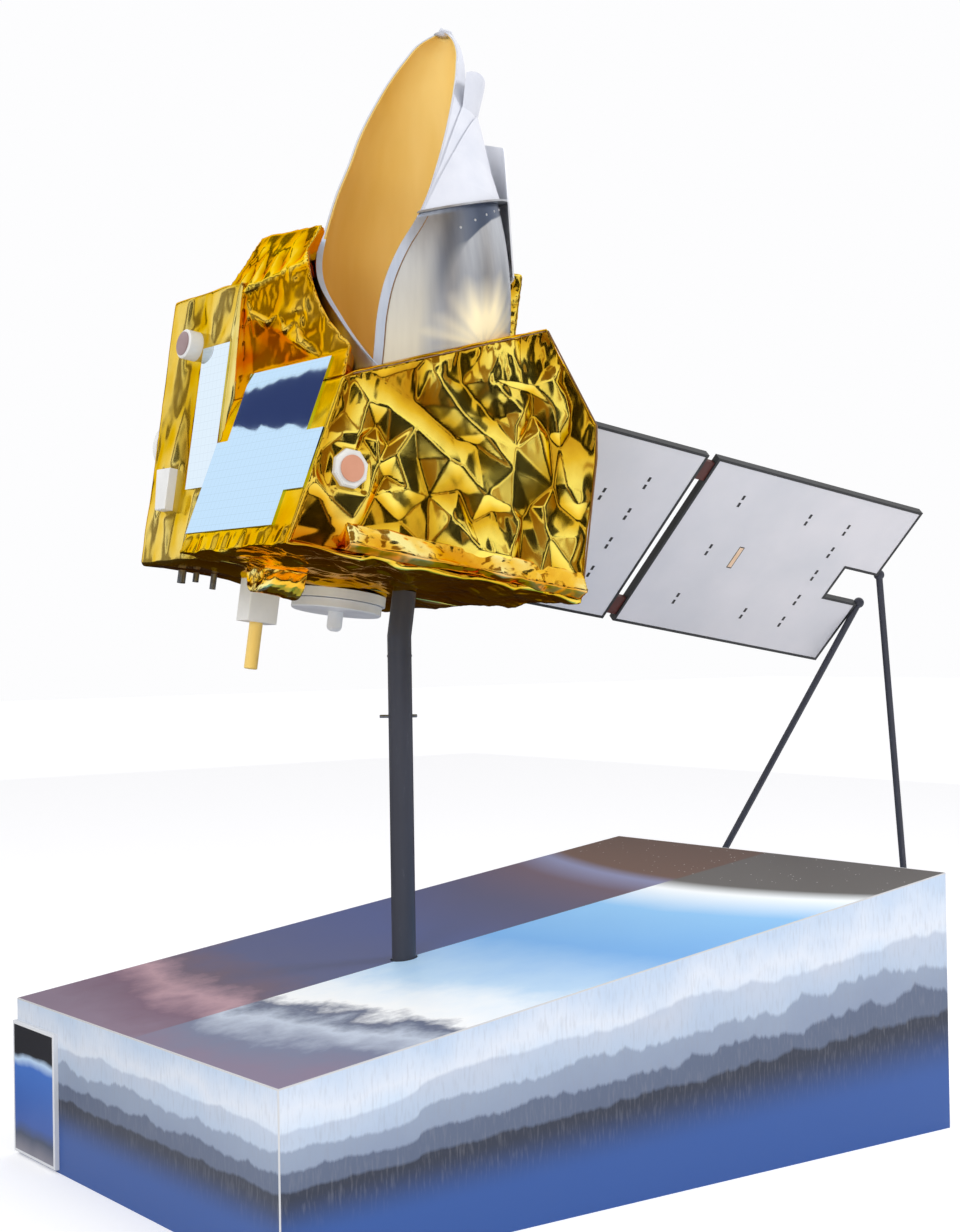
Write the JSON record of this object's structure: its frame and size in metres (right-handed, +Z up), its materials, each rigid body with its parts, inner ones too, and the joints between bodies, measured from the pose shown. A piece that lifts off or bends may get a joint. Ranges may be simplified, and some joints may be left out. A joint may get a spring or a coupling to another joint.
{
  "type": "satellite display model",
  "caption": "Foil-wrapped earth-observation satellite mock-up with a scoop-shaped baffle and one folded-out solar wing, on a post and wedge plinth.",
  "frame": {"origin": "middle of the plinth's rectangular base, on the floor", "axes": "+Z up; +X along the plinth's length towards its high end and the solar wing; +Y towards the plinth's rear"},
  "size_m": [2.773, 1.4639, 2.7985],
  "materials": {
    "foil": "crumpled metallised film, gold",
    "gold_sheet": "satin gold anodised",
    "silver_sheet": "satin",
    "white_sheet": "satin white",
    "mirror_tiles": "small square mirror tiles",
    "white_paint": "satin white",
    "grey_paint": "satin pale grey",
    "copper_disc": "satin copper pink",
    "wing_face": "satin white",
    "black_rail": "satin black",
    "cell_face": "gloss dark blue",
    "post_paint": "worn semi-gloss black",
    "bare_steel": "brushed",
    "printed_board": "satin printed film on board",
    "notice_face": "matt white"
  },
  "bodies": {
    "root": {"front_body": "foil", "rear_body": "foil", "lower_fold": "foil", "instrument_housing": "foil", "foil_tower": "foil", "foil_pouch": "foil", "baffle_liner": "gold_sheet", "gold_rod": "gold_sheet", "baffle_drum": "silver_sheet", "baffle_flange": "silver_sheet", "baffle_skin": "white_sheet", "baffle_cone": "white_sheet", "baffle_petal": "white_sheet", "baffle_shield": "white_sheet", "baffle_tip": "white_sheet", "front_radiator": "mirror_tiles", "side_radiator": "mirror_tiles", "side_antenna": "white_paint", "side_cover": "white_paint", "back_cover": "white_paint", "small_block": "white_paint", "rod_block": "white_paint", "mounting_plate": "white_paint", "mounting_disc": "white_paint", "front_antenna": "grey_paint", "front_antenna_disc": "copper_disc", "side_antenna_disc": "copper_disc", "wing_inner_panel": "wing_face", "wing_outer_panel": "wing_face", "wing_inner_frame": "black_rail", "wing_outer_frame": "black_rail", "wing_hinges": "black_rail", "wing_root": "black_rail", "wing_inner_cells": "cell_face", "wing_outer_cells": "cell_face", "post": "post_paint", "post_collar": "post_paint", "post_pin": "bare_steel", "front_strut": "bare_steel", "rear_strut": "bare_steel", "strut_feet": "bare_steel", "wing_shaft": "bare_steel", "underside_studs": "bare_steel", "plinth_front_half": "printed_board", "plinth_rear_half": "printed_board", "notice_board": "notice_face"}
  },
  "joints": []
}
